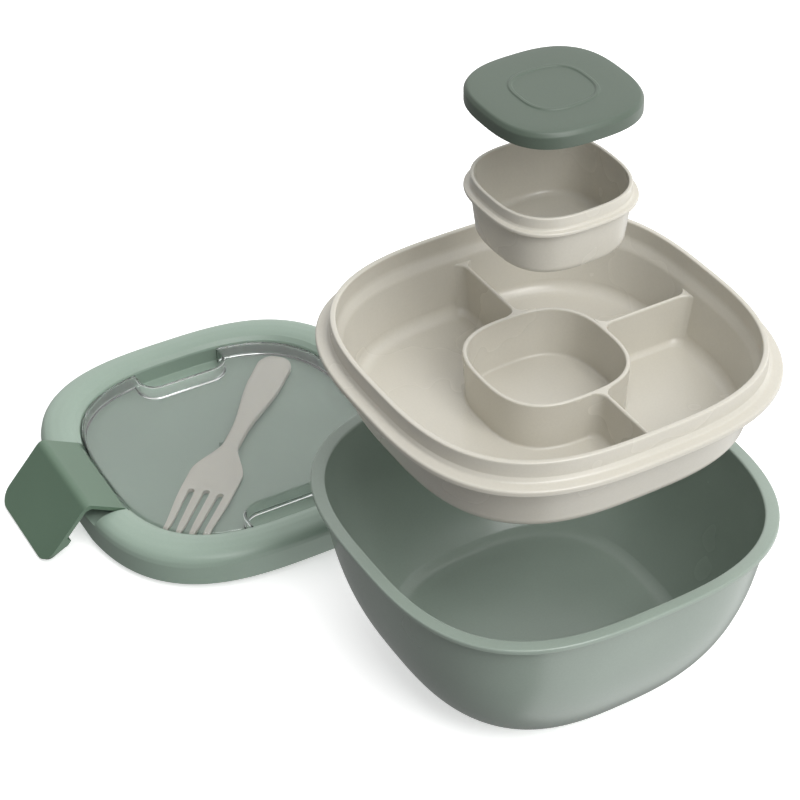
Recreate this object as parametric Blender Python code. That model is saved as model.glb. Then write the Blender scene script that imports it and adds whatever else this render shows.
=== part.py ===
"""Square food container with a clip-on lid, shown as an exploded set.

A deep bowl stands at the origin. A divided tray, a small sauce cup and the cup's
own lid hang above it on its axis, each straight above the place it drops into.
The main lid lies beside the bowl with both latches swung open. Under its clear
cover it carries a fork. Units are metres, +Z is up, and the origin is the centre
of the bowl's base. Lid parts are drawn in the lid's own frame, whose origin is
the centre of the skirt's lower edge, and an empty puts them beside the bowl.
"""

import math

import bmesh
import bpy
from mathutils import Vector

# ---- shape of every outline -------------------------------------------------
OUTLINE_POWER = 2.92       # superellipse power of bowl, tray and main lid
BASE_POWER = 2.7           # the bowl's base is rounder than its rim
SMALL_POWER = 2.75         # well, sauce cup and sauce cup lid
STEPS_LARGE = 64           # points round a large outline
STEPS_SMALL = 48           # points round a small outline
GAP = 0.0003               # gap between faces that touch

# ---- bowl -------------------------------------------------------------------
FLANGE_HALF = 0.0912       # half the width across the tray's flange
BOWL_LIP = 0.0048          # how far the bowl's lip passes the flange
BOWL_HEIGHT = 0.0850
BOWL_WALL = 0.0024
BOWL_BASE_INSET = 0.0340   # from the lip in to the edge of the flat base
RIM_BAND = 0.0060          # width of the bowl's flat rim
LIP_THICK = 0.0025

# ---- tray -------------------------------------------------------------------
TRAY_DEPTH = 0.0290        # from the flange's underside down to the tray's base
BAND_HEIGHT = 0.0125       # from the flange's underside up to the bead
FLANGE_THICK = 0.0030
FLANGE_WIDTH = 0.0060      # from the band out to the flange's edge
TRAY_WALL = 0.0022
TRAY_FLOOR = 0.0020
DIVIDER_THICK = 0.0018
DIVIDER_TOP = -0.0030      # height of dividers and well, from the flange's underside
DIVIDER_OFFSET = 0.0065    # cross divider's distance from the tray's centre line

# ---- sauce cup and its lid --------------------------------------------------
CUP_FLANGE_HALF = 0.0331
CUP_DEPTH = 0.0215         # from the cup flange's underside down to its base
CUP_BAND = 0.0057          # from the cup flange's top up to the bead
CUP_FLANGE_THICK = 0.0017
CUP_FLANGE_WIDTH = 0.0025
CUP_WALL = 0.0015
CUP_LID_WALL = 0.0014
WELL_WALL = 0.0019
RING_HALF = 0.0154         # stacking ring on the cup lid
RING_WIDTH = 0.0014
RING_HEIGHT = 0.0005

# ---- main lid ---------------------------------------------------------------
LID_OVERHANG = 0.0010      # how far the skirt passes the tray's flange
LID_HEIGHT = 0.0175
SKIRT_WALL = 0.0024
RIM_WIDTH = 0.0190         # from the skirt in to the edge of the recess
FLOOR_UNDER = 0.0038       # underside of the recess floor
FLOOR_THICK = 0.0016
RIB_HEIGHT = 0.0074        # underside of the step between the floor and the gasket
RECESS_WALL = 0.0022
GASKET_THICK = 0.0018
GASKET_WIDTH = 0.0048

# ---- clear cover and fork ---------------------------------------------------
COVER_WALL = 0.0012
COVER_DROP = 0.0030        # from the rim's crown down to the cover's plate
COVER_ROUND = 0.0015
BAY_LENGTH = 0.0470        # finger bay, along the side
BAY_DEPTH = 0.0165         # finger bay, in from the side
BAY_CORNER = 0.0090
FORK_END_GAP = 0.00665     # from each end of the fork to the recess's corner, when centred
FORK_THICK = 0.0032
FORK_HEAD_HALF = 0.0138
FORK_NECK_HALF = 0.0042
FORK_HANDLE_HALF = 0.0096
FORK_SHIFT = 0.0010        # fork's middle, from the centre toward the tines' corner
TINE_LENGTH = 0.0350
TINE_GAP = 0.0035
CLIP_SIZE = (0.0060, 0.0022, 0.0034)   # small post beside the fork's neck

# ---- latches ----------------------------------------------------------------
LATCH_WIDTH = 0.0600
LATCH_THICK = 0.0020
LATCH_PLATE = 0.0210       # from the pin to the bend
LATCH_FLAP = 0.0380        # from the bend to the tip
LATCH_CORNER = 0.0090
LATCH_SLOPE = 9.0          # degrees the plate falls outward when it is shut
LATCH_FOLD = 75.0          # degrees from the plate's direction to the flap's
LATCH_OPEN = 36.0          # degrees the latches stand open here
HOOK_THICK = 0.0027
PIN_BACK = 0.0025          # from the edge of the recess out to the pin
PIN_HEIGHT = 0.0150
PIN_RADIUS = 0.0009
BARREL_RADIUS = 0.0022
PIN_HOLD = 0.0020          # length of pin held in the lid at each end

# ---- layout -----------------------------------------------------------------
TRAY_LIFT = 0.0783         # how far each piece hangs above its seat
CUP_LIFT = 0.0837
CUP_LID_LIFT = 0.0390
LID_ASIDE = 0.0005         # from the bowl's lip to the lid's skirt, in plan
LID_ALONG = -0.0654        # lid's centre from the bowl's, along Y
LID_TURN = -1.0            # degrees about +Z

# ---- sizes that follow from the ones above ----------------------------------
BOWL_HALF = FLANGE_HALF + BOWL_LIP
BAND_HALF = FLANGE_HALF - FLANGE_WIDTH
WELL_TOP_HALF = CUP_FLANGE_HALF + 0.0004
WELL_HALF = WELL_TOP_HALF - WELL_WALL
CUP_BAND_HALF = CUP_FLANGE_HALF - CUP_FLANGE_WIDTH
CUP_BODY_HALF = WELL_HALF - 0.0012
LID_HALF = FLANGE_HALF + LID_OVERHANG
RECESS_HALF = LID_HALF - RIM_WIDTH
LID_FLOOR = FLOOR_UNDER + FLOOR_THICK
PIN_HALF = RECESS_HALF + PIN_BACK
COVER_BASE = LID_FLOOR + GAP
RECESS_REACH = RECESS_HALF * 2.0 ** (0.5 - 1.0 / OUTLINE_POWER)    # centre to corner
FORK_LENGTH = 2.0 * (RECESS_REACH - FORK_END_GAP)
LID_PLACE = (-(BOWL_HALF + LID_HALF + LID_ASIDE), LID_ALONG)
TRAY_SEAT = BOWL_HEIGHT + GAP
CUP_SEAT = DIVIDER_TOP + GAP
CUP_LID_SEAT = CUP_FLANGE_THICK + GAP
# Inside the tray's band, less room for the lid's inner rib.
RIB_HALF = BAND_HALF - TRAY_WALL - 0.0020
CEILING = BAND_HEIGHT - FLANGE_THICK + GASKET_THICK + GAP


def clear_scene():
    for item in list(bpy.data.objects):
        bpy.data.objects.remove(item, do_unlink=True)


def material(name, colour, roughness, alpha=1.0):
    made = bpy.data.materials.new(name)
    made.use_nodes = True
    shader = made.node_tree.nodes["Principled BSDF"]
    shader.inputs["Base Color"].default_value = (*colour, 1.0)
    shader.inputs["Roughness"].default_value = roughness
    shader.inputs["Metallic"].default_value = 0.0
    shader.inputs["Alpha"].default_value = alpha
    return made


def finish(name, mesh_builder, colour_of, angle=40.0):
    """Turn a bmesh into a named object with its material."""
    mesh = bpy.data.meshes.new(name)
    bmesh.ops.recalc_face_normals(mesh_builder, faces=mesh_builder.faces)
    mesh_builder.to_mesh(mesh)
    mesh_builder.free()
    mesh.shade_smooth()
    mesh.set_sharp_from_angle(angle=math.radians(angle))
    made = bpy.data.objects.new(name, mesh)
    bpy.context.scene.collection.objects.link(made)
    if colour_of is not None:
        mesh.materials.append(colour_of)
    return made


def cutter(made):
    made.hide_render = True
    made.display_type = "WIRE"
    return made


def cut(target, tool, operation="DIFFERENCE"):
    step = target.modifiers.new(tool.name, "BOOLEAN")
    step.object = tool
    step.operation = operation
    step.solver = "EXACT"


def reach(angle, half, power):
    """Distance from the centre to a superellipse, in one direction."""
    total = abs(math.cos(angle)) ** power + abs(math.sin(angle)) ** power
    return half / total ** (1.0 / power)


def ring(builder, half, height, power, steps):
    verts = []
    for index in range(steps):
        angle = 2.0 * math.pi * index / steps
        radius = reach(angle, half, power)
        place = (radius * math.cos(angle), radius * math.sin(angle), height)
        verts.append(builder.verts.new(place))
    return verts


def join_rings(builder, lower, upper):
    count = len(lower)
    for index in range(count):
        after = (index + 1) % count
        builder.faces.new((lower[index], lower[after], upper[after], upper[index]))


def turned(name, stations, steps, colour_of, looped=False):
    """A closed body swept round the outline through stations.

    Each station is (half width, height, power). An open run starts and ends at a
    flat cap, and a looped one makes a ring.
    """
    builder = bmesh.new()
    rings = []
    for half, height, power in stations:
        rings.append(ring(builder, half, height, power, steps))
    for lower, upper in zip(rings, rings[1:]):
        join_rings(builder, lower, upper)
    if looped:
        join_rings(builder, rings[-1], rings[0])
    else:
        builder.faces.new(rings[0])
        builder.faces.new(rings[-1])
    return finish(name, builder, colour_of)


def fillet(centre_half, centre_height, radius, start, end, steps):
    """Points on a quarter round, from one angle to the other in degrees."""
    points = []
    for index in range(steps + 1):
        angle = math.radians(start + (end - start) * index / steps)
        half = centre_half + radius * math.cos(angle)
        height = centre_height + radius * math.sin(angle)
        points.append((half, height))
    return points


def with_power(points, power):
    return [(half, height, power) for half, height in points]


def slab(name, outline, low, high, colour_of=None):
    """A plate between two heights, from a plan outline."""
    builder = bmesh.new()
    lower = [builder.verts.new((x, y, low)) for x, y in outline]
    upper = [builder.verts.new((x, y, high)) for x, y in outline]
    join_rings(builder, lower, upper)
    builder.faces.new(lower)
    builder.faces.new(upper)
    return finish(name, builder, colour_of)


def bar_x(name, section, half_length, colour_of=None):
    """A bar along X from a section given as (y, z) points."""
    builder = bmesh.new()
    left = [builder.verts.new((-half_length, y, z)) for y, z in section]
    right = [builder.verts.new((half_length, y, z)) for y, z in section]
    join_rings(builder, left, right)
    builder.faces.new(left)
    builder.faces.new(right)
    return finish(name, builder, colour_of)


def circle_section(centre_y, centre_z, radius, steps):
    points = []
    for index in range(steps):
        angle = 2.0 * math.pi * index / steps
        points.append((centre_y + radius * math.cos(angle), centre_z + radius * math.sin(angle)))
    return points


# ---- bowl -------------------------------------------------------------------

def bowl_wall_point(share):
    """The bowl's outer wall from base to lip: half width, height and power."""
    top_half = BOWL_HALF - 0.0030
    base_half = BOWL_HALF - BOWL_BASE_INSET
    top = BOWL_HEIGHT - LIP_THICK
    height = top * share
    bulge = 1.0 - (1.0 - share) ** 4.2
    half = base_half + (top_half - base_half) * (0.42 * share + 0.58 * bulge)
    power = BASE_POWER + (OUTLINE_POWER - BASE_POWER) * min(1.0, 1.6 * share)
    return half, height, power


def make_bowl(colour_of):
    shares = (0.0, 0.03, 0.08, 0.15, 0.25, 0.38, 0.55, 0.78, 1.0)
    outer = [bowl_wall_point(share) for share in shares]
    rim_inner = BOWL_HALF - RIM_BAND
    lip_low = BOWL_HEIGHT - LIP_THICK
    rim = [(BOWL_HALF, lip_low), (BOWL_HALF, BOWL_HEIGHT - 0.0008), (BOWL_HALF - 0.0008, BOWL_HEIGHT)]
    rim += [(rim_inner + 0.0008, BOWL_HEIGHT), (rim_inner, BOWL_HEIGHT - 0.0010)]
    inner = []
    for half, height, power in reversed(outer[2:-1]):
        inner.append((half - BOWL_WALL, height + BOWL_WALL * 0.4, power))
    floor_half = outer[0][0] - BOWL_WALL * 0.5
    inner.append((floor_half, BOWL_WALL * 1.15, BASE_POWER))
    inner.append((floor_half * 0.94, BOWL_WALL, BASE_POWER))
    return turned("bowl", outer + with_power(rim, OUTLINE_POWER) + inner, STEPS_LARGE, colour_of)


# ---- tray -------------------------------------------------------------------

def tray_inner_points():
    """The tray's hollow, from its mouth down to its floor."""
    mouth = BAND_HALF - TRAY_WALL
    floor = TRAY_FLOOR - TRAY_DEPTH
    neck = BAND_HALF - 0.0050
    low = neck - 0.0032
    points = [(mouth, BAND_HEIGHT + 0.0020), (mouth, BAND_HEIGHT - 0.0006), (mouth - 0.0002, 0.0040)]
    points.append((neck, -0.0010))
    points += fillet(low - 0.0060, floor + 0.0060, 0.0060, 0.0, -90.0, 4)
    return points


def make_tray(colour_of):
    body_top = BAND_HALF - 0.0028
    body_low = body_top - 0.0034
    base = -TRAY_DEPTH
    outer = fillet(body_low - 0.0070, base + 0.0070, 0.0070, -90.0, 0.0, 4)
    outer += [(body_top, -0.0030), (body_top + 0.0004, 0.0)]
    outer += [(FLANGE_HALF - 0.0006, 0.0), (FLANGE_HALF, 0.0006), (FLANGE_HALF, FLANGE_THICK - 0.0008)]
    outer += [(FLANGE_HALF - 0.0008, FLANGE_THICK)]
    outer += [(BAND_HALF + 0.0016, FLANGE_THICK + 0.0004), (BAND_HALF + 0.0004, FLANGE_THICK + 0.0016)]
    outer += [(BAND_HALF, BAND_HEIGHT - 0.0011), (BAND_HALF - 0.0007, BAND_HEIGHT)]
    tray = turned("tray", with_power(outer, OUTLINE_POWER), STEPS_LARGE, colour_of)

    hollow = turned("tray_hollow", with_power(tray_inner_points(), OUTLINE_POWER), STEPS_LARGE, None)
    floor = TRAY_FLOOR - TRAY_DEPTH
    low = floor - 0.0010
    taper = 0.0013
    well = [(WELL_TOP_HALF - taper, low), (WELL_TOP_HALF, DIVIDER_TOP)]
    well += [(WELL_HALF, DIVIDER_TOP), (WELL_HALF - taper, low)]
    well_wall = turned("tray_well", with_power(well, SMALL_POWER), STEPS_SMALL, None, looped=True)
    half_thick = DIVIDER_THICK / 2.0
    past = FLANGE_HALF + 0.0100
    touch = WELL_HALF + WELL_WALL * 0.4
    cross = DIVIDER_OFFSET
    bars = [("tray_divider_left", (-past, cross - half_thick), (-touch, cross + half_thick))]
    bars.append(("tray_divider_right", (touch, cross - half_thick), (past, cross + half_thick)))
    bars.append(("tray_divider_back", (-cross - half_thick, touch), (-cross + half_thick, past)))
    tools = [well_wall]
    for name, start, end in bars:
        outline = [start, (end[0], start[1]), end, (start[0], end[1])]
        tools.append(slab(name, outline, low, DIVIDER_TOP))
    for tool in tools:
        cut(hollow, cutter(tool))
    cut(tray, cutter(hollow))
    for item in [tray, hollow] + tools:
        item.location.z = TRAY_SEAT + TRAY_LIFT
    return tray


# ---- sauce cup --------------------------------------------------------------

def make_cup(colour_of):
    body = CUP_BODY_HALF
    base = -CUP_DEPTH
    top = CUP_FLANGE_THICK + CUP_BAND
    outer = fillet(body - 0.0018 - 0.0040, base + 0.0040, 0.0040, -90.0, 0.0, 4)
    outer += [(body, -0.0020), (body, 0.0)]
    outer += [(CUP_FLANGE_HALF - 0.0004, 0.0), (CUP_FLANGE_HALF, 0.0004)]
    outer += [(CUP_FLANGE_HALF, CUP_FLANGE_THICK - 0.0004), (CUP_FLANGE_HALF - 0.0004, CUP_FLANGE_THICK)]
    outer += [(CUP_BAND_HALF + 0.0005, CUP_FLANGE_THICK + 0.0003)]
    outer += [(CUP_BAND_HALF, CUP_FLANGE_THICK + 0.0010), (CUP_BAND_HALF, top - 0.0007)]
    outer += [(CUP_BAND_HALF - 0.0005, top), (CUP_BAND_HALF - CUP_WALL + 0.0004, top)]
    inner = [(CUP_BAND_HALF - CUP_WALL, top - 0.0006), (CUP_BAND_HALF - CUP_WALL, CUP_FLANGE_THICK)]
    inner += [(body - CUP_WALL - 0.0002, -0.0030)]
    low = body - 0.0018 - CUP_WALL
    inner += fillet(low - 0.0030, base + CUP_WALL + 0.0030, 0.0030, 0.0, -90.0, 3)
    cup = turned("sauce_cup", with_power(outer + inner, SMALL_POWER), STEPS_SMALL, colour_of)
    cup.location.z = TRAY_SEAT + TRAY_LIFT + CUP_SEAT + CUP_LIFT
    return cup


def make_cup_lid(colour_of):
    ceiling = CUP_BAND + GAP
    top = ceiling + CUP_LID_WALL
    outer = [(CUP_FLANGE_HALF, 0.0), (CUP_FLANGE_HALF, top - 0.0018)]
    outer += fillet(CUP_FLANGE_HALF - 0.0018, top - 0.0018, 0.0018, 20.0, 90.0, 3)
    ring_out = RING_HALF + RING_WIDTH
    outer += [(ring_out + 0.0004, top), (ring_out, top + RING_HEIGHT)]
    outer += [(RING_HALF, top + RING_HEIGHT), (RING_HALF - 0.0004, top)]
    inner = [(CUP_BAND_HALF + 0.0005, ceiling), (CUP_BAND_HALF + 0.0008, ceiling - 0.0006)]
    inner += [(CUP_BAND_HALF + 0.0009, 0.0)]
    stations = with_power(inner, SMALL_POWER) + with_power(outer, SMALL_POWER)
    lid = turned("sauce_cup_lid", stations, STEPS_SMALL, colour_of)
    above = CUP_SEAT + CUP_LIFT + CUP_LID_SEAT + CUP_LID_LIFT
    lid.location.z = TRAY_SEAT + TRAY_LIFT + above
    return lid


# ---- main lid ---------------------------------------------------------------

def make_lid_frame(colour_of):
    outside = LID_HALF
    top = LID_HEIGHT
    crown = [(outside, 0.0), (outside + 0.0001, top - 0.0066), (outside - 0.0004, top - 0.0042)]
    crown += [(outside - 0.0019, top - 0.0020), (outside - 0.0048, top - 0.0006)]
    crown += [(outside - 0.0095, top), (outside - 0.0135, top - 0.0003)]
    crown += [(RECESS_HALF + 0.0026, top - 0.0012), (RECESS_HALF + 0.0003, top - 0.0030)]
    crown += [(RECESS_HALF, top - 0.0038)]
    recess = [(RECESS_HALF, LID_FLOOR)]
    inner_half = RECESS_HALF + RECESS_WALL
    under = [(inner_half, FLOOR_UNDER), (inner_half, RIB_HEIGHT), (RIB_HALF, RIB_HEIGHT)]
    shoulder = outside - SKIRT_WALL
    under += [(RIB_HALF, CEILING), (shoulder - 0.0034, CEILING), (shoulder, CEILING - 0.0022)]
    under += [(shoulder, 0.0)]
    stations = with_power(under + crown + recess, OUTLINE_POWER)
    frame = turned("lid_frame", stations, STEPS_LARGE, colour_of)

    tools = []
    wide = LATCH_WIDTH / 2.0 + 0.0006
    pocket_in = RECESS_HALF - 0.0014
    pocket_out = PIN_HALF + BARREL_RADIUS + 0.0006
    pocket_low = PIN_HEIGHT - BARREL_RADIUS - 0.0003
    seat = PIN_HEIGHT - 0.0008
    fall = math.tan(math.radians(LATCH_SLOPE)) * (outside + 0.0030 - pocket_out)
    for side in (-1.0, 1.0):
        section = [(pocket_in, pocket_low), (pocket_out, pocket_low), (pocket_out, seat)]
        section += [(outside + 0.0030, seat - fall), (outside + 0.0030, top + 0.0040)]
        section += [(pocket_in, top + 0.0040)]
        section = [(side * half, height) for half, height in section]
        name = "front" if side < 0.0 else "back"
        tools.append(bar_x("latch_pocket_" + name, section, wide))
        hole = circle_section(side * PIN_HALF, PIN_HEIGHT, PIN_RADIUS + GAP, 12)
        hole_half = LATCH_WIDTH / 2.0 + 0.0006 + PIN_HOLD + GAP
        tools.append(bar_x("pin_hole_" + name, hole, hole_half))
        step = [(side * (outside - 0.0009), -0.0010), (side * (outside + 0.0030), -0.0010)]
        step += [(side * (outside + 0.0030), 0.0024), (side * (outside - 0.0009), 0.0024)]
        tools.append(bar_x("skirt_step_" + name, step, wide + 0.0060))
    for tool in tools:
        cut(frame, cutter(tool))
    clip = slab("fork_clip", clip_outline(), LID_FLOOR - 0.0005, LID_FLOOR + CLIP_SIZE[2])
    cut(frame, cutter(clip), "UNION")
    tools.append(clip)
    return frame, tools


def make_gasket(colour_of):
    inner = RIB_HALF + GAP
    outer = inner + GASKET_WIDTH
    high = CEILING - GAP
    low = high - GASKET_THICK
    section = [(inner, low), (outer, low), (outer, high), (inner, high)]
    return turned("lid_gasket", with_power(section, OUTLINE_POWER), STEPS_LARGE, colour_of, looped=True)


def cover_outline(offset, arc_steps, corner_steps):
    """Plan of the cover with its two finger bays, drawn in by an offset."""
    half = RECESS_HALF - 0.0004 - offset
    side = BAY_LENGTH / 2.0 + offset
    inner = RECESS_HALF - 0.0004 - BAY_DEPTH - offset
    corner = BAY_CORNER + offset
    power = OUTLINE_POWER
    mouth = (half ** power - side ** power) ** (1.0 / power)
    start = math.atan2(side, mouth)
    quarter = []
    for index in range(arc_steps + 1):
        angle = start + (math.pi / 2.0 - start) * index / arc_steps
        radius = reach(angle, half, power)
        quarter.append((radius * math.cos(angle), radius * math.sin(angle)))
    bay = []
    for index in range(corner_steps + 1):
        angle = math.radians(180.0 - 90.0 * index / corner_steps)
        across = side - corner + corner * math.sin(angle)
        bay.append((inner + corner + corner * math.cos(angle), across))
    right = bay + quarter
    left = [(-x, y) for x, y in reversed(right)]
    upper = right + left[1:]
    lower = [(-x, -y) for x, y in upper]
    return upper + lower


def make_cover(colour_of):
    top = LID_HEIGHT - COVER_DROP
    under = top - COVER_WALL
    soft = COVER_ROUND
    stations = [(COVER_WALL + 0.0008, under), (COVER_WALL, under - 0.0008), (COVER_WALL, COVER_BASE)]
    stations += [(0.0, COVER_BASE), (0.0, top - soft), (soft * 0.3, top - soft * 0.3), (soft, top)]
    builder = bmesh.new()
    rings = []
    for offset, height in stations:
        outline = cover_outline(offset, 14, 6)
        rings.append([builder.verts.new((x, y, height)) for x, y in outline])
    for lower, upper in zip(rings, rings[1:]):
        join_rings(builder, lower, upper)
    builder.faces.new(rings[0])
    builder.faces.new(rings[-1])
    return finish("fork_cover", builder, colour_of, 30.0)


# ---- fork -------------------------------------------------------------------

def fork_half_width(share):
    """Half width of the fork at a share of its length from the handle's end."""
    keys = ((0.0, FORK_HANDLE_HALF), (0.15, FORK_HANDLE_HALF * 0.97), (0.46, FORK_NECK_HALF))
    keys += ((0.52, FORK_NECK_HALF), (0.68, FORK_HEAD_HALF), (0.78, FORK_HEAD_HALF))
    keys += ((1.0, FORK_HEAD_HALF * 0.86),)
    for (low, first), (high, second) in zip(keys, keys[1:]):
        if share <= high:
            blend = (share - low) / (high - low)
            smooth = blend * blend * (3.0 - 2.0 * blend)
            return first + (second - first) * smooth
    return keys[-1][1]


def fork_outline():
    """Plan outline, from the handle's round end to the four tines."""
    length = FORK_LENGTH
    start = -length / 2.0
    right = []
    left = []
    round_end = FORK_HANDLE_HALF
    for index in range(7):
        angle = math.radians(90.0 * index / 6.0)
        along = start + round_end * (1.0 - math.cos(angle))
        across = round_end * math.sin(angle)
        if index:
            right.append((along, -across))
            left.append((along, across))
    for index in range(1, 17):
        share = round_end / length + (1.0 - round_end / length) * index / 17.0
        half = fork_half_width(share)
        right.append((start + length * share, -half))
        left.append((start + length * share, half))
    tip_half = fork_half_width(1.0)
    root_half = FORK_HEAD_HALF
    tip = start + length
    root = tip - TINE_LENGTH
    tips = []
    tine_tip = (2.0 * tip_half - 3.0 * TINE_GAP) / 4.0
    tine_root = (2.0 * root_half - 3.0 * TINE_GAP) / 4.0
    for index in range(4):
        low = -tip_half + index * (tine_tip + TINE_GAP)
        high = low + tine_tip
        tips += [(tip - 0.0012, low), (tip, low + tine_tip * 0.3)]
        tips += [(tip, high - tine_tip * 0.3), (tip - 0.0012, high)]
        if index < 3:
            base = -root_half + index * (tine_root + TINE_GAP) + tine_root
            tips += [(root + 0.0010, base), (root, base + TINE_GAP * 0.3)]
            tips += [(root, base + TINE_GAP * 0.7), (root + 0.0010, base + TINE_GAP)]
    return [(start, 0.0)] + right + tips + list(reversed(left))


def beside_fork(along, side):
    """A plan point from its place along the fork and across it."""
    diagonal = math.radians(-45.0)
    direction = Vector((math.cos(diagonal), math.sin(diagonal)))
    across = Vector((-direction.y, direction.x))
    place = direction * (along + FORK_SHIFT) + across * side
    return place.x, place.y


def clip_outline():
    """The post that stands against the fork's neck."""
    long, wide = CLIP_SIZE[:2]
    near = -(FORK_NECK_HALF + GAP * 2)
    corners = ((-long / 2.0, near - wide), (long / 2.0, near - wide), (long / 2.0, near))
    corners += ((-long / 2.0, near),)
    return [beside_fork(along, side) for along, side in corners]


def make_fork(colour_of):
    outline = [beside_fork(along, side) for along, side in fork_outline()]
    low = LID_FLOOR + GAP
    return slab("fork", outline, low, low + FORK_THICK, colour_of)


# ---- latch ------------------------------------------------------------------

def latch_section(flap):
    """Latch section about its pin when shut: outward and up, for one flap length."""
    slope = math.radians(-LATCH_SLOPE)
    plate = Vector((math.cos(slope), math.sin(slope)))
    plate_up = Vector((-plate.y, plate.x))
    fold = math.radians(-LATCH_SLOPE - LATCH_FOLD)
    down = Vector((math.cos(fold), math.sin(fold)))
    inward = Vector((down.y, -down.x))
    corner = plate * LATCH_PLATE + plate_up * BARREL_RADIUS
    # The hook's step stands just under the bowl's lip when the lid is shut.
    lip_under = -(FLANGE_THICK + GAP) - LIP_THICK - 2 * GAP - PIN_HEIGHT
    hook = (corner.y - lip_under) / -down.y
    under = BARREL_RADIUS - LATCH_THICK
    bend_in = corner + inward * LATCH_THICK
    meet = plate.x * LATCH_PLATE - LATCH_THICK * 1.05
    points = []
    for index in range(9):
        angle = slope + math.radians(90.0 + 30.0 * index)
        points.append(Vector((math.cos(angle), math.sin(angle))) * BARREL_RADIUS)
    points.append(plate * (BARREL_RADIUS * 1.02) + plate_up * under)
    points.append(plate * (meet - 0.0010) + plate_up * under)
    points.append(bend_in + down * (LATCH_THICK + 0.0014))
    points.append(corner + inward * LATCH_THICK + down * hook)
    points.append(corner + inward * (LATCH_THICK + HOOK_THICK) + down * hook)
    points.append(corner + inward * (LATCH_THICK + HOOK_THICK) + down * (hook + 0.0030))
    points.append(corner + inward * LATCH_THICK + down * (flap - 0.0004))
    points.append(corner + down * flap)
    points.append(corner + down * 0.0010)
    points.append(corner - plate * 0.0010)
    return points


def lid_hover():
    """Height of the lid's skirt when the tips of its open latches touch the table."""
    turn = math.radians(LATCH_OPEN)
    heights = []
    for point in latch_section(LATCH_FLAP):
        heights.append(point.x * math.sin(turn) + point.y * math.cos(turn))
    return GAP - PIN_HEIGHT - min(heights)


def make_latch(name, side, colour_of):
    half = LATCH_WIDTH / 2.0
    straight = half - LATCH_CORNER
    stations = []
    for index in range(7):
        angle = math.radians(90.0 * index / 6.0)
        inset = LATCH_CORNER * (1.0 - math.sin(angle))
        stations.append((straight + LATCH_CORNER * math.cos(angle), LATCH_FLAP - inset))
    stations = stations + [(-x, flap) for x, flap in reversed(stations)]
    builder = bmesh.new()
    rings = []
    for x, flap in stations:
        section = latch_section(flap)
        rings.append([builder.verts.new((x, side * point.x, point.y)) for point in section])
    for first, second in zip(rings, rings[1:]):
        join_rings(builder, first, second)
    builder.faces.new(rings[0])
    builder.faces.new(rings[-1])
    latch = finish(name, builder, colour_of, 30.0)
    bore = bar_x(name + "_bore", circle_section(0.0, 0.0, PIN_RADIUS + GAP, 12), half + 0.0010)
    bore.parent = latch
    cut(latch, cutter(bore))
    latch.location = (0.0, side * PIN_HALF, PIN_HEIGHT)
    latch.rotation_euler = (side * math.radians(LATCH_OPEN), 0.0, 0.0)
    return latch


def make_pin(name, side, colour_of):
    half = LATCH_WIDTH / 2.0 + 0.0006 + PIN_HOLD
    section = circle_section(side * PIN_HALF, PIN_HEIGHT, PIN_RADIUS, 12)
    return bar_x(name, section, half, colour_of)


def main():
    clear_scene()
    sage = material("sage", (0.30, 0.40, 0.32), 0.45)
    light_sage = material("light_sage", (0.38, 0.52, 0.41), 0.45)
    green = material("green", (0.12, 0.20, 0.14), 0.45)
    dark_green = material("dark_green", (0.17, 0.23, 0.18), 0.50)
    cream = material("cream", (0.62, 0.60, 0.53), 0.45)
    stone = material("stone", (0.62, 0.57, 0.50), 0.45)
    rubber = material("rubber", (0.60, 0.61, 0.58), 0.70)
    clear = material("clear", (0.85, 0.90, 0.87), 0.10, 0.3)
    steel = material("pin", (0.45, 0.50, 0.46), 0.40)

    make_bowl(sage)
    make_tray(cream)
    make_cup(cream)
    make_cup_lid(dark_green)

    frame, tools = make_lid_frame(light_sage)
    pieces = [frame, make_gasket(rubber), make_cover(clear), make_fork(stone)]
    for name, side in (("front", -1.0), ("back", 1.0)):
        pieces.append(make_latch("latch_" + name, side, green))
        pieces.append(make_pin("latch_pin_" + name, side, steel))
    place = bpy.data.objects.new("lid_place", None)
    bpy.context.scene.collection.objects.link(place)
    place.location = (LID_PLACE[0], LID_PLACE[1], lid_hover())
    place.rotation_euler = (0.0, 0.0, math.radians(LID_TURN))
    for item in pieces + tools:
        item.parent = place


main()
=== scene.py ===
"""Looks for the square food container: fine meshes, materials, studio and camera."""

import math

import bmesh
import bpy
from mathutils import Matrix, Vector


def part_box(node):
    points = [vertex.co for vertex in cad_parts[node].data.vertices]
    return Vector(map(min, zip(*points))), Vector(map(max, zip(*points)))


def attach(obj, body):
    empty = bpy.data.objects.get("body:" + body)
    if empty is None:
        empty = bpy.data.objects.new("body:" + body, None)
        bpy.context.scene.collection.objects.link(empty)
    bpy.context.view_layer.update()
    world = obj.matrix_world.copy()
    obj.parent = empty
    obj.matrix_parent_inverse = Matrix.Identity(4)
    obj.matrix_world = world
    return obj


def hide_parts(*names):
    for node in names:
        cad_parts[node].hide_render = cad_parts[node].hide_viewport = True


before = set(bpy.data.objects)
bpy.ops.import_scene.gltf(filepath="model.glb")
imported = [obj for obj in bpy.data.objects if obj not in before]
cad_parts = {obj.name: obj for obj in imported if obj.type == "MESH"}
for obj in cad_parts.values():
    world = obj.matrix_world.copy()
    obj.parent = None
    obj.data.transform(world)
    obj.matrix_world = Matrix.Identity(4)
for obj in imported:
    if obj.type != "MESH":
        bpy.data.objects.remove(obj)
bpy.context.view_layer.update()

# ---- sizes, as the solid model has them ------------------------------------
OUTLINE_POWER = 2.92
BASE_POWER = 2.7
SMALL_POWER = 2.75
FINE = 288
FINE_SMALL = 216
GAP = 0.0003
FLANGE_HALF = 0.0912
BOWL_LIP = 0.0048
BOWL_HALF = FLANGE_HALF + BOWL_LIP
BOWL_HEIGHT = 0.0850
BOWL_WALL = 0.0024
BOWL_BASE_INSET = 0.0340
RIM_BAND = 0.0060
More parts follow.
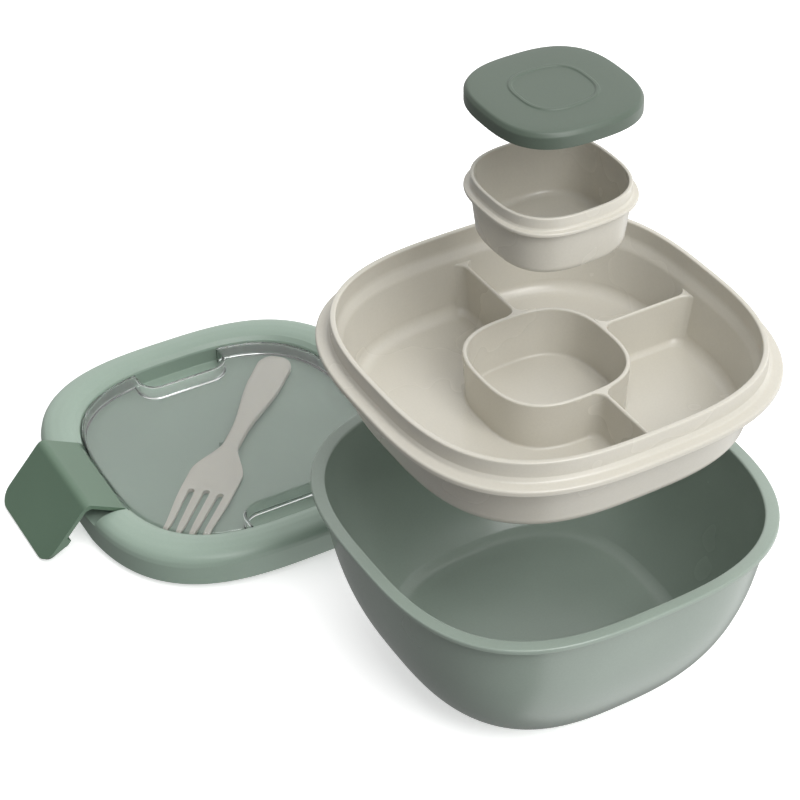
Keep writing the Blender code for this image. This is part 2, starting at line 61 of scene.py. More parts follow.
LIP_THICK = 0.0025
TRAY_DEPTH = 0.0290
BAND_HEIGHT = 0.0125
FLANGE_THICK = 0.0030
FLANGE_WIDTH = 0.0060
BAND_HALF = FLANGE_HALF - FLANGE_WIDTH
TRAY_WALL = 0.0022
TRAY_FLOOR = 0.0020
DIVIDER_THICK = 0.0018
DIVIDER_TOP = -0.0030
DIVIDER_OFFSET = 0.0065
CUP_FLANGE_HALF = 0.0331
CUP_DEPTH = 0.0215
CUP_BAND = 0.0057
CUP_FLANGE_THICK = 0.0017
CUP_FLANGE_WIDTH = 0.0025
CUP_BAND_HALF = CUP_FLANGE_HALF - CUP_FLANGE_WIDTH
CUP_WALL = 0.0015
CUP_LID_WALL = 0.0014
WELL_WALL = 0.0019
WELL_ROOM = 0.0004
WELL_TOP_HALF = CUP_FLANGE_HALF + WELL_ROOM
WELL_HALF = WELL_TOP_HALF - WELL_WALL
CUP_ROOM = 0.0012
CUP_BODY_HALF = WELL_HALF - CUP_ROOM
RING_HALF = 0.0154
RING_WIDTH = 0.0014
RING_HEIGHT = 0.0005
LID_OVERHANG = 0.0010
LID_HALF = FLANGE_HALF + LID_OVERHANG
LID_HEIGHT = 0.0175
SKIRT_WALL = 0.0024
RIM_WIDTH = 0.0190
RECESS_HALF = LID_HALF - RIM_WIDTH
FLOOR_UNDER = 0.0038
FLOOR_THICK = 0.0016
LID_FLOOR = FLOOR_UNDER + FLOOR_THICK
RIB_HEIGHT = 0.0074
RECESS_WALL = 0.0022
GASKET_THICK = 0.0018
GASKET_WIDTH = 0.0048
COVER_WALL = 0.0012
COVER_DROP = 0.0030
COVER_BASE = LID_FLOOR + GAP
BAY_LENGTH = 0.0470
BAY_DEPTH = 0.0165
BAY_CORNER = 0.0090
RECESS_REACH = RECESS_HALF * 2.0 ** (0.5 - 1.0 / OUTLINE_POWER)
FORK_END_GAP = 0.00665
FORK_LENGTH = 2.0 * (RECESS_REACH - FORK_END_GAP)
FORK_HEAD_HALF = 0.0138
FORK_NECK_HALF = 0.0042
FORK_HANDLE_HALF = 0.0096
FORK_SHIFT = 0.0010
TINE_LENGTH = 0.0350
TINE_GAP = 0.0035
CLIP_SIZE = (0.0060, 0.0022, 0.0034)
LATCH_WIDTH = 0.0600
LATCH_THICK = 0.0020
LATCH_PLATE = 0.0210
LATCH_FLAP = 0.0380
LATCH_CORNER = 0.0090
LATCH_SLOPE = 9.0
LATCH_FOLD = 75.0
LATCH_OPEN = 36.0
HOOK_THICK = 0.0027
PIN_BACK = 0.0025
PIN_HALF = RECESS_HALF + PIN_BACK
PIN_HEIGHT = 0.0150
PIN_RADIUS = 0.0009
PIN_HOLD = 0.0020
BARREL_RADIUS = 0.0022
RIB_ROOM = 0.0020
RIB_HALF = BAND_HALF - TRAY_WALL - RIB_ROOM
CEILING = BAND_HEIGHT - FLANGE_THICK + GASKET_THICK + GAP

# ---- places, read from the frame --------------------------------------------


def node_box(name):
    low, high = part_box(name)
    return Vector(low), Vector(high)


TRAY_Z = node_box("tray")[0].z + TRAY_DEPTH
CUP_Z = node_box("sauce_cup")[0].z + CUP_DEPTH
CUP_LID_Z = node_box("sauce_cup_lid")[0].z
LID_LOW, LID_TOP = node_box("lid_frame")
LID_CENTRE = (LID_LOW + LID_TOP) / 2.0
LID_Z = LID_LOW.z
LID_TURN = math.radians(-1.0)


# ---- mesh tools -------------------------------------------------------------

def reach(angle, half, power):
    total = abs(math.cos(angle)) ** power + abs(math.sin(angle)) ** power
    return half / total ** (1.0 / power)


def plain_angles(steps):
    return [2.0 * math.pi * index / steps for index in range(steps)]


def ring(builder, half, height, power, turns):
    verts = []
    for turn in turns:
        radius = reach(turn, half, power)
        verts.append(builder.verts.new((radius * math.cos(turn), radius * math.sin(turn), height)))
    return verts


def join_rings(builder, lower, upper):
    count = len(lower)
    for index in range(count):
        after = (index + 1) % count
        builder.faces.new((lower[index], lower[after], upper[after], upper[index]))


def finish_mesh(name, builder, mat, angle=35.0):
    mesh = bpy.data.meshes.new(name)
    bmesh.ops.recalc_face_normals(builder, faces=builder.faces)
    builder.to_mesh(mesh)
    builder.free()
    mesh.shade_smooth()
    mesh.set_sharp_from_angle(angle=math.radians(angle))
    made = bpy.data.objects.new(name, mesh)
    bpy.context.scene.collection.objects.link(made)
    if mat is not None:
        mesh.materials.append(mat)
    return made


def cap(builder, verts, height=None):
    """A flat end filled with shrinking rings, so that its shading stays even."""
    inner = verts
    for share in (0.97, 0.85, 0.6, 0.3):
        fresh = []
        for vert in verts:
            z = vert.co.z if height is None else height
            fresh.append(builder.verts.new((vert.co.x * share, vert.co.y * share, z)))
        join_rings(builder, inner, fresh)
        inner = fresh
    builder.faces.new(inner)


def turned(name, stations, turns, mat, looped=False, angle=35.0):
    builder = bmesh.new()
    rings = []
    for half, height, power in stations:
        rings.append(ring(builder, half, height, power, turns))
    for lower, upper in zip(rings, rings[1:]):
        join_rings(builder, lower, upper)
    if looped:
        join_rings(builder, rings[-1], rings[0])
    else:
        cap(builder, rings[0])
        cap(builder, rings[-1])
    return finish_mesh(name, builder, mat, angle)


def rounded(points, radii, steps=5):
    """A profile whose corners are rounded: points are (half, height)."""
    made = []
    count = len(points)
    for index, (x, y) in enumerate(points):
        radius = radii[index] if isinstance(radii, (list, tuple)) else radii
        if index == 0 or index == count - 1 or radius <= 0.0:
            made.append((x, y))
            continue
        here = Vector((x, y))
        back = Vector(points[index - 1]) - here
        ahead = Vector(points[index + 1]) - here
        room = min(back.length, ahead.length) * 0.48
        if room < 1e-7:
            continue
        start_dir = back.normalized()
        end_dir = ahead.normalized()
        half_angle = start_dir.angle(end_dir) / 2.0
        if half_angle > math.radians(87.0):
            made.append((x, y))
            continue
        reach_back = min(room, radius / math.tan(half_angle))
        first = here + start_dir * reach_back
        last = here + end_dir * reach_back
        for step in range(steps + 1):
            t = step / steps
            spot = first * (1 - t) ** 2 + here * 2 * t * (1 - t) + last * t ** 2
            made.append((spot.x, spot.y))
    return made


def with_power(points, power):
    return [(half, height, power) for half, height in points]


def arc(centre_half, centre_height, radius, start, end, steps):
    points = []
    for index in range(steps + 1):
        angle = math.radians(start + (end - start) * index / steps)
        points.append((centre_half + radius * math.cos(angle), centre_height + radius * math.sin(angle)))
    return points


def cut(target, tool, operation="DIFFERENCE"):
    """Apply a Boolean and drop the tool."""
    step = target.modifiers.new("cut", "BOOLEAN")
    step.object = tool
    step.operation = operation
    step.solver = "EXACT"
    depsgraph = bpy.context.evaluated_depsgraph_get()
    mesh = bpy.data.meshes.new_from_object(target.evaluated_get(depsgraph))
    target.modifiers.clear()
    old = target.data
    target.data = mesh
    bpy.data.meshes.remove(old)
    bpy.data.objects.remove(tool, do_unlink=True)


def tidy(target, angle=35.0, merge=0.00001):
    builder = bmesh.new()
    builder.from_mesh(target.data)
    bmesh.ops.remove_doubles(builder, verts=builder.verts, dist=merge)
    bmesh.ops.dissolve_degenerate(builder, edges=builder.edges, dist=0.000005)
    builder.to_mesh(target.data)
    builder.free()
    target.data.shade_smooth()
    target.data.set_sharp_from_angle(angle=math.radians(angle))


def soften(target, width, segments=3, limit=35.0):
    """Round the sharp edges, then even out the shading."""
    step = target.modifiers.new("edge_round", "BEVEL")
    step.width = width
    step.segments = segments
    step.limit_method = "ANGLE"
    step.angle_limit = math.radians(limit)
    step.harden_normals = False
    step.use_clamp_overlap = True
    step.miter_outer = "MITER_ARC"
    even = target.modifiers.new("even", "WEIGHTED_NORMAL")
    even.keep_sharp = True
    even.weight = 60


def bar_x(name, section, half_length, mat=None):
    builder = bmesh.new()
    left = [builder.verts.new((-half_length, y, z)) for y, z in section]
    right = [builder.verts.new((half_length, y, z)) for y, z in section]
    join_rings(builder, left, right)
    builder.faces.new(left)
    builder.faces.new(right)
    return finish_mesh(name, builder, mat)


def circle_section(centre_y, centre_z, radius, steps):
    points = []
    for index in range(steps):
        turn = 2.0 * math.pi * index / steps
        points.append((centre_y + radius * math.cos(turn), centre_z + radius * math.sin(turn)))
    return points


# ---- materials --------------------------------------------------------------

class Nodes:
    """A short way to lay out a material's nodes."""

    def __init__(self, name):
        self.mat = bpy.data.materials.new(name)
        self.mat.use_nodes = True
        self.tree = self.mat.node_tree
        self.shader = self.tree.nodes["Principled BSDF"]

    def add(self, kind, inputs=None, **settings):
        node = self.tree.nodes.new(kind)
        for key, value in settings.items():
            setattr(node, key, value)
        for key, value in (inputs or {}).items():
            if hasattr(value, "is_output") or isinstance(value, bpy.types.NodeSocket):
                self.tree.links.new(value, node.inputs[key])
            else:
                node.inputs[key].default_value = value
        return node

    def link(self, source, target):
        self.tree.links.new(source, target)


def moulded(name, colour, roughness=0.42, vary=0.05, grain=0.00012, sheen=0.0, subsurface=0.05,
            specular=0.5, coat=0.0):
    """Moulded plastic: a faint drift in tone and roughness, fine specks, and a satin grain."""
    n = Nodes(name)
    coords = n.add("ShaderNodeTexCoord")
    place = coords.outputs["Object"]
    drift = n.add("ShaderNodeTexNoise", {"Vector": place, "Scale": 14.0, "Detail": 3.0, "Roughness": 0.5})
    specks = n.add("ShaderNodeTexNoise", {"Vector": place, "Scale": 900.0, "Detail": 2.0, "Roughness": 0.6})
    low = tuple(max(0.0, c * (1.0 - vary)) for c in colour)
    high = tuple(min(1.0, c * (1.0 + vary)) for c in colour)
    ramp = n.add("ShaderNodeValToRGB", {"Fac": drift.outputs["Fac"]})
    ramp.color_ramp.elements[0].position = 0.30
    ramp.color_ramp.elements[0].color = (*low, 1.0)
    ramp.color_ramp.elements[1].position = 0.70
    ramp.color_ramp.elements[1].color = (*high, 1.0)
    fleck = n.add("ShaderNodeMapRange", {"Value": specks.outputs["Fac"], "From Min": 0.35, "From Max": 0.65,
                                         "To Min": 0.985, "To Max": 1.012})
    tone = n.add("ShaderNodeMix", {"Factor": 1.0, "A": ramp.outputs["Color"]}, data_type="RGBA",
                 blend_type="MULTIPLY")
    tone.inputs[0].default_value = 1.0
    n.link(ramp.outputs["Color"], tone.inputs[6])
    n.link(fleck.outputs["Result"], tone.inputs[7])
    n.link(tone.outputs[2], n.shader.inputs["Base Color"])
    rough = n.add("ShaderNodeMapRange", {"Value": drift.outputs["Fac"], "From Min": 0.3, "From Max": 0.7,
                                         "To Min": roughness - 0.035, "To Max": roughness + 0.035})
    n.link(rough.outputs["Result"], n.shader.inputs["Roughness"])
    fine = n.add("ShaderNodeTexNoise", {"Vector": place, "Scale": 2600.0, "Detail": 1.0, "Roughness": 0.5})
    wavy = n.add("ShaderNodeTexNoise", {"Vector": place, "Scale": 45.0, "Detail": 1.0, "Roughness": 0.4})
    bump_fine = n.add("ShaderNodeBump", {"Height": fine.outputs["Fac"], "Strength": 0.10, "Distance": grain})
    bump = n.add("ShaderNodeBump", {"Height": wavy.outputs["Fac"], "Strength": 0.05, "Distance": 0.0008,
                                    "Normal": bump_fine.outputs["Normal"]})
    n.link(bump.outputs["Normal"], n.shader.inputs["Normal"])
    n.shader.inputs["Subsurface Weight"].default_value = subsurface
    n.shader.inputs["Subsurface Radius"].default_value = (0.0035, 0.0030, 0.0022)
    n.shader.inputs["Subsurface Scale"].default_value = 1.0
    n.shader.inputs["Specular IOR Level"].default_value = specular
    n.shader.inputs["Sheen Weight"].default_value = sheen
    n.shader.inputs["Coat Weight"].default_value = coat
    return n.mat


def clear_plastic(name):
    """Clear cover: thin, polished, with a hint of green and the faintest flow lines."""
    n = Nodes(name)
    coords = n.add("ShaderNodeTexCoord")
    place = coords.outputs["Object"]
    flow = n.add("ShaderNodeTexNoise", {"Vector": place, "Scale": 30.0, "Detail": 2.0, "Roughness": 0.5})
    rough = n.add("ShaderNodeMapRange", {"Value": flow.outputs["Fac"], "From Min": 0.3, "From Max": 0.7,
                                         "To Min": 0.03, "To Max": 0.07})
    n.link(rough.outputs["Result"], n.shader.inputs["Roughness"])
    tint = n.add("ShaderNodeValToRGB", {"Fac": flow.outputs["Fac"]})
    tint.color_ramp.elements[0].color = (0.955, 0.975, 0.965, 1.0)
    tint.color_ramp.elements[1].color = (0.985, 0.995, 0.99, 1.0)
    n.link(tint.outputs["Color"], n.shader.inputs["Base Color"])
    bump = n.add("ShaderNodeBump", {"Height": flow.outputs["Fac"], "Strength": 0.03, "Distance": 0.0004})
    n.link(bump.outputs["Normal"], n.shader.inputs["Normal"])
    n.shader.inputs["Transmission Weight"].default_value = 1.0
    n.shader.inputs["IOR"].default_value = 1.46
    n.shader.inputs["Specular IOR Level"].default_value = 0.5
    return n.mat


SAGE = moulded("sage_plastic", (0.300, 0.360, 0.312), 0.24)
LIGHT_SAGE = moulded("light_sage_plastic", (0.312, 0.402, 0.335), 0.36)
LATCH_GREEN = moulded("latch_green_plastic", (0.112, 0.182, 0.124), 0.34)
DARK_GREEN = moulded("dark_green_plastic", (0.092, 0.122, 0.094), 0.44)
CREAM = moulded("cream_plastic", (0.568, 0.545, 0.480), 0.26, vary=0.02, subsurface=0.06)
STONE = moulded("stone_plastic", (0.700, 0.660, 0.590), 0.42, vary=0.02, subsurface=0.08)
SILICONE = moulded("silicone", (0.55, 0.57, 0.54), 0.60, vary=0.03, subsurface=0.2)
PIN_MAT = moulded("pin_plastic", (0.26, 0.32, 0.27), 0.38)
CLEAR = clear_plastic("clear_plastic")


# ---- bowl -------------------------------------------------------------------

def bowl_wall_point(share):
    top_half = BOWL_HALF - 0.0030
    base_half = BOWL_HALF - BOWL_BASE_INSET
    top = BOWL_HEIGHT - LIP_THICK
    bulge = 1.0 - (1.0 - share) ** 4.2
    half = base_half + (top_half - base_half) * (0.42 * share + 0.58 * bulge)
    power = BASE_POWER + (OUTLINE_POWER - BASE_POWER) * min(1.0, 1.6 * share)
    return half, top * share, power


def make_bowl():
    base_half = BOWL_HALF - BOWL_BASE_INSET
    outer = [(base_half - 0.0015, 0.0, BASE_POWER)]
    for index in range(1, 61):
        share = (index / 60.0) ** 1.7
        outer.append(bowl_wall_point(share))
    rim_inner = BOWL_HALF - RIM_BAND
    lip_low = BOWL_HEIGHT - LIP_THICK
    under = outer[-1][0]
    rim = rounded([(under, lip_low - 0.0004), (under, lip_low), (BOWL_HALF, lip_low),
                   (BOWL_HALF, BOWL_HEIGHT), (rim_inner, BOWL_HEIGHT), (rim_inner, BOWL_HEIGHT - 0.0040)],
                  [0, 0.0005, 0.0005, 0.0009, 0.0012, 0], 5)
    inner = []
    for half, height, power in reversed(outer[10:-6]):
        inner.append((min(half - BOWL_WALL, rim_inner - 0.0002), height + BOWL_WALL * 0.4, power))
    floor_half = base_half - BOWL_WALL * 0.5
    inner.append((floor_half - 0.001, BOWL_WALL * 1.25, BASE_POWER))
    inner.append((floor_half * 0.94, BOWL_WALL * 1.02, BASE_POWER))
    inner.append((floor_half * 0.86, BOWL_WALL, BASE_POWER))
    stations = outer[:-1] + with_power(rim, OUTLINE_POWER) + inner
    bowl = turned("bowl_fine", stations, plain_angles(FINE), SAGE)
    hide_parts("bowl")
    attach(bowl, "bowl_body")
    return bowl


# ---- tray -------------------------------------------------------------------

def tray_inner_half(z):
    """Half width of the tray's hollow at a height from the flange's underside."""
    mouth = BAND_HALF - TRAY_WALL
    floor = TRAY_FLOOR - TRAY_DEPTH
    neck = BAND_HALF - 0.0050
    low = neck - 0.0032
    keys = ((floor + 0.006, low), (-0.0010, neck), (0.0040, mouth - 0.0002), (0.0120, mouth))
    if z <= keys[0][0]:
        drop = min(1.0, (keys[0][0] - z) / 0.006)
        return low - 0.006 + 0.006 * math.sqrt(max(0.0, 1.0 - drop * drop))
    for (z0, h0), (z1, h1) in zip(keys, keys[1:]):
        if z <= z1:
            return h0 + (h1 - h0) * (z - z0) / (z1 - z0)
    return mouth


def make_tray():
    body_top = BAND_HALF - 0.0028
    body_low = body_top - 0.0034
    base = -TRAY_DEPTH
    outer = arc(body_low - 0.0070, base + 0.0070, 0.0070, -90.0, 0.0, 14)
    rest = rounded([outer[-1], (body_top, -0.0030), (body_top + 0.0004, 0.0), (FLANGE_HALF, 0.0),
                    (FLANGE_HALF, FLANGE_THICK), (BAND_HALF + 0.0014, FLANGE_THICK + 0.0004),
                    (BAND_HALF + 0.0002, FLANGE_THICK + 0.0024),
                    (BAND_HALF, BAND_HEIGHT), (BAND_HALF - TRAY_WALL - 0.0002, BAND_HEIGHT),
                    (BAND_HALF - TRAY_WALL - 0.0002, BAND_HEIGHT - 0.0030)],
                   [0, 0.004, 0.0008, 0.0010, 0.0012, 0.0016, 0.0012, 0.0009, 0.0009, 0], 6)
    outer += rest[1:]
    tray_turns = plain_angles(FINE)
    neck = BAND_HALF - 0.0050
    low = neck - 0.0032
    floor = TRAY_FLOOR - TRAY_DEPTH
    inner = rounded([(BAND_HALF - TRAY_WALL - 0.0002, BAND_HEIGHT - 0.0030),
                     (BAND_HALF - TRAY_WALL - 0.0004, 0.0040), (neck, -0.0010), (low, floor + 0.0062)],
                    [0, 0.008, 0.008, 0], 8)
    inner = inner[1:]
    inner += arc(low - 0.0060, floor + 0.0060, 0.0060, 0.0, -90.0, 12)
    tray = turned("tray_fine", with_power(outer + inner, OUTLINE_POWER), tray_turns, CREAM)

    # Well wall: rounded top, flared foot.
    foot = floor - 0.0008
    taper = 0.0013
    out_low = WELL_TOP_HALF - taper
    in_low = WELL_HALF - taper
    well = rounded([(out_low + 0.0030, foot), (out_low + 0.0030, floor), (out_low, floor),
                    (WELL_TOP_HALF, DIVIDER_TOP), (WELL_HALF, DIVIDER_TOP), (in_low, floor),
                    (in_low - 0.0030, floor), (in_low - 0.0030, foot)],
                   [0, 0.0, 0.0028, 0.0009, 0.0009, 0.0028, 0.0, 0], 7)
    wall = turned("well_wall", with_power(well, SMALL_POWER), plain_angles(FINE_SMALL), CREAM, looped=True)

    # Dividers: rounded top, flared foot, and a fillet where each one meets a wall.
    parts = [wall]
    layers = [foot, floor + 0.00002]
    layers += [floor + 0.0028 * (1.0 - math.cos(math.radians(a))) + 0.00003 for a in (20, 40, 60, 75, 90)]
    layers += [floor + 0.009, floor + 0.015, DIVIDER_TOP - 0.0009]
    layers += [DIVIDER_TOP - 0.0009 * (1.0 - math.sin(math.radians(a))) for a in (25, 50, 70, 90)]
    half_thick = DIVIDER_THICK / 2.0

    def side_room(z):
        thick = half_thick + 0.0004 * (DIVIDER_TOP - z) / (DIVIDER_TOP - floor)
        if z < floor + 0.0028:
            rise = max(0.0, (z - floor)) / 0.0028
            thick += 0.0028 * (1.0 - math.sqrt(max(0.0, 1.0 - (1.0 - rise) ** 2)))
        if z > DIVIDER_TOP - 0.0009:
            up = (z - (DIVIDER_TOP - 0.0009)) / 0.0009
            thick -= 0.0009 * (1.0 - math.sqrt(max(0.0, 1.0 - up * up))) * 0.94
        return thick

    def flare(gap_to_wall, radius):
        if gap_to_wall >= radius:
            return 0.0
        gap_to_wall = max(0.0, gap_to_wall)
        return radius - math.sqrt(max(0.0, radius ** 2 - (radius - gap_to_wall) ** 2))

    for name, direction, across, offset in (("left", (-1, 0), (0, 1), DIVIDER_OFFSET),
                                            ("right", (1, 0), (0, 1), DIVIDER_OFFSET),
                                            ("back", (0, 1), (-1, 0), DIVIDER_OFFSET)):
        builder = bmesh.new()
        rings = []
        for z in layers:
            outer_wall = tray_inner_half(max(z, floor + 0.0003))
            well_out = WELL_TOP_HALF - taper * (DIVIDER_TOP - z) / (DIVIDER_TOP - floor)
            start = well_out - 0.0008
            end = outer_wall + 0.0010
            points = []
            for index in range(41):
                share = index / 40.0
                share = 0.5 - 0.5 * math.cos(math.pi * share)
                along = start + (end - start) * share
                thick = side_room(z)
                thick += flare(along - well_out, 0.0050) * 0.9
                thick += flare(outer_wall - along, 0.0050) * 0.9
                points.append((along, thick))
            loop = [(along, offset - thick) for along, thick in points]
            loop += [(along, offset + thick) for along, thick in reversed(points)]
            verts = []
            for along, side in loop:
                x = direction[0] * along + across[0] * side
                y = direction[1] * along + across[1] * side
                verts.append(builder.verts.new((x, y, z)))
            rings.append(verts)
        for lower, upper in zip(rings, rings[1:]):
            join_rings(builder, lower, upper)
        builder.faces.new(rings[0])
        builder.faces.new(rings[-1])
        parts.append(finish_mesh("divider_" + name, builder, CREAM))
    for part in parts:
        cut(tray, part, "UNION")
    tidy(tray, 30.0)
    even = tray.modifiers.new("even", "WEIGHTED_NORMAL")
    even.keep_sharp = True
    tray.data.transform(Matrix.Translation((0.0, 0.0, TRAY_Z)))
    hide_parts("tray")
    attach(tray, "tray_body")
    return tray


# ---- sauce cup and its lid --------------------------------------------------

def make_cup():
    body = CUP_BODY_HALF
    base = -CUP_DEPTH
    top = CUP_FLANGE_THICK + CUP_BAND
    outer = arc(body - 0.0018 - 0.0040, base + 0.0040, 0.0040, -90.0, 0.0, 10)
    outer += rounded([outer[-1], (body, -0.0020), (body + 0.0001, 0.0), (CUP_FLANGE_HALF, 0.0),
                      (CUP_FLANGE_HALF, CUP_FLANGE_THICK),
                      (CUP_BAND_HALF + 0.0004, CUP_FLANGE_THICK + 0.0002),
                      (CUP_BAND_HALF, CUP_FLANGE_THICK + 0.0012), (CUP_BAND_HALF, top),
                      (CUP_BAND_HALF - CUP_WALL, top), (CUP_BAND_HALF - CUP_WALL, CUP_FLANGE_THICK),
                      (body - CUP_WALL - 0.0002, -0.0030), (body - CUP_WALL - 0.0010, -0.0100)],
                     [0, 0.001, 0.0005, 0.0006, 0.0007, 0.0007, 0.0005, 0.00065, 0.00065,
                      0.003, 0.003, 0], 5)[1:]
    low = body - 0.0018 - CUP_WALL
    outer += arc(low - 0.0030, base + CUP_WALL + 0.0030, 0.0030, 0.0, -90.0, 9)
    cup = turned("sauce_cup_fine", with_power(outer, SMALL_POWER), plain_angles(FINE_SMALL), CREAM)
    cup.data.transform(Matrix.Translation((0.0, 0.0, CUP_Z)))
    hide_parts("sauce_cup")
    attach(cup, "cup_body")
    return cup


def make_cup_lid():
    ceiling = CUP_BAND + GAP
    top = ceiling + CUP_LID_WALL
    ring_out = RING_HALF + RING_WIDTH
    outer = rounded([(CUP_BAND_HALF + 0.0009, 0.0), (CUP_FLANGE_HALF, 0.0), (CUP_FLANGE_HALF, top - 0.0022),
                     (CUP_FLANGE_HALF - 0.0012, top - 0.0003), (CUP_FLANGE_HALF - 0.0050, top)],
                    [0, 0.0004, 0.0016, 0.0016, 0], 7)
    bump = rounded([(ring_out + 0.0020, top), (ring_out + 0.0003, top),
                    (ring_out - 0.0002, top + RING_HEIGHT), (RING_HALF + 0.0002, top + RING_HEIGHT),
                    (RING_HALF - 0.0004, top), (RING_HALF - 0.0022, top)],
                   [0, 0.0006, 0.0004, 0.0004, 0.0006, 0], 5)
    inner = rounded([(CUP_BAND_HALF - 0.0030, ceiling), (CUP_BAND_HALF + 0.0008, ceiling),
                     (CUP_BAND_HALF + 0.0009, 0.0)], [0, 0.0007, 0], 5)
    stations = with_power(inner[:-1] + outer + bump, SMALL_POWER)
    lid = turned("sauce_cup_lid_fine", stations, plain_angles(FINE_SMALL), DARK_GREEN)
    lid.data.transform(Matrix.Translation((0.0, 0.0, CUP_LID_Z)))
    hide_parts("sauce_cup_lid")
    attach(lid, "cup_lid_body")
    return lid


# ---- main lid ---------------------------------------------------------------

def place_on_lid(item, body, node):
    """Put a piece drawn in the lid's own frame beside the bowl."""
    place = Matrix.Translation((LID_CENTRE.x, LID_CENTRE.y, LID_Z))
    item.data.transform(place @ Matrix.Rotation(LID_TURN, 4, "Z"))
    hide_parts(node)
    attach(item, body)


def beside_fork(along, side):
    diagonal = math.radians(-45.0)
    direction = Vector((math.cos(diagonal), math.sin(diagonal)))
    across = Vector((-direction.y, direction.x))
    place = direction * (along + FORK_SHIFT) + across * side
    return place.x, place.y


def make_lid_frame():
    outside = LID_HALF
    top = LID_HEIGHT
    inner_half = RECESS_HALF + RECESS_WALL
    shoulder = outside - SKIRT_WALL
    profile = rounded([(inner_half - 0.0100, FLOOR_UNDER), (inner_half, FLOOR_UNDER),
                       (inner_half, RIB_HEIGHT),
                       (RIB_HALF, RIB_HEIGHT), (RIB_HALF, CEILING), (shoulder - 0.0034, CEILING),
                       (shoulder, CEILING - 0.0022), (shoulder, 0.0), (outside, 0.0),
                       (outside + 0.0001, top - 0.0066), (outside - 0.0004, top - 0.0042),
                       (outside - 0.0019, top - 0.0020), (outside - 0.0048, top - 0.0006),
                       (outside - 0.0095, top), (outside - 0.0135, top - 0.0003),
                       (RECESS_HALF + 0.0026, top - 0.0012), (RECESS_HALF + 0.0004, top - 0.0030),
                       (RECESS_HALF, top - 0.0040), (RECESS_HALF, LID_FLOOR),
                       (RECESS_HALF - 0.0100, LID_FLOOR)],
                      [0, 0.0006, 0.0006, 0.0005, 0.0003, 0.0008, 0.0008, 0.0006, 0.0007, 0.003, 0.004,
                       0.005, 0.008, 0.010, 0.010, 0.0009, 0.0008, 0.0010, 0.0009, 0], 5)
    frame_piece = turned("lid_fine", with_power(profile, OUTLINE_POWER), plain_angles(FINE), LIGHT_SAGE)

    wide = LATCH_WIDTH / 2.0 + 0.0006
    pocket_in = RECESS_HALF - 0.0014
    pocket_out = PIN_HALF + BARREL_RADIUS + 0.0006
    pocket_low = PIN_HEIGHT - BARREL_RADIUS - 0.0003
    seat = PIN_HEIGHT - 0.0008
    fall = math.tan(math.radians(LATCH_SLOPE)) * (outside + 0.0030 - pocket_out)
    for side in (-1.0, 1.0):
        section = [(pocket_in, pocket_low), (pocket_out, pocket_low), (pocket_out, seat)]
        section += [(outside + 0.0030, seat - fall), (outside + 0.0030, top + 0.0040)]
        section += [(pocket_in, top + 0.0040)]
        section = [(side * half, height) for half, height in section]
        cut(frame_piece, bar_x("pocket", section, wide))
        hole = circle_section(side * PIN_HALF, PIN_HEIGHT, PIN_RADIUS + GAP, 24)
        cut(frame_piece, bar_x("hole", hole, LATCH_WIDTH / 2.0 + 0.0006 + PIN_HOLD + GAP))
        step = [(side * (outside - 0.0009), -0.0010), (side * (outside + 0.0030), -0.0010)]
        step += [(side * (outside + 0.0030), 0.0024), (side * (outside - 0.0009), 0.0024)]
        cut(frame_piece, bar_x("step", step, wide + 0.0060))
    # Post beside the fork's neck.
    long, wide_clip = CLIP_SIZE[:2]
    near = -(FORK_NECK_HALF + GAP * 2)
    corners = ((-long / 2, near - wide_clip), (long / 2, near - wide_clip),
               (long / 2, near), (-long / 2, near))
    builder = bmesh.new()
    lower = [builder.verts.new((*beside_fork(a, s), LID_FLOOR - 0.0005)) for a, s in corners]
    upper = [builder.verts.new((*beside_fork(a, s), LID_FLOOR + CLIP_SIZE[2])) for a, s in corners]
    join_rings(builder, lower, upper)
    builder.faces.new(lower)
    builder.faces.new(upper)
    bmesh.ops.bevel(builder, geom=list(builder.edges), offset=0.0003, segments=2, affect="EDGES")
    cut(frame_piece, finish_mesh("clip", builder, LIGHT_SAGE), "UNION")
    tidy(frame_piece, 30.0)
    even = frame_piece.modifiers.new("even", "WEIGHTED_NORMAL")
    even.keep_sharp = True
    place_on_lid(frame_piece, "lid_body", "lid_frame")
    return frame_piece


def make_gasket():
    inner = RIB_HALF + GAP
    outer = inner + GASKET_WIDTH
    high = CEILING - GAP
    low = high - GASKET_THICK
    middle = (inner + outer) / 2.0
    section = rounded([(middle, low + 0.0004), (outer - 0.0012, low), (outer, low + 0.0003),
                       (outer, high), (inner, high), (inner, low + 0.0003), (inner + 0.0012, low),
                       (middle, low + 0.0004)],
                      [0, 0.0005, 0.0005, 0.0004, 0.0004, 0.0005, 0.0005, 0], 4)
    gasket = turned("gasket_fine", with_power(section[:-1], OUTLINE_POWER), plain_angles(FINE),
                    SILICONE, looped=True)
    place_on_lid(gasket, "lid_body", "lid_gasket")


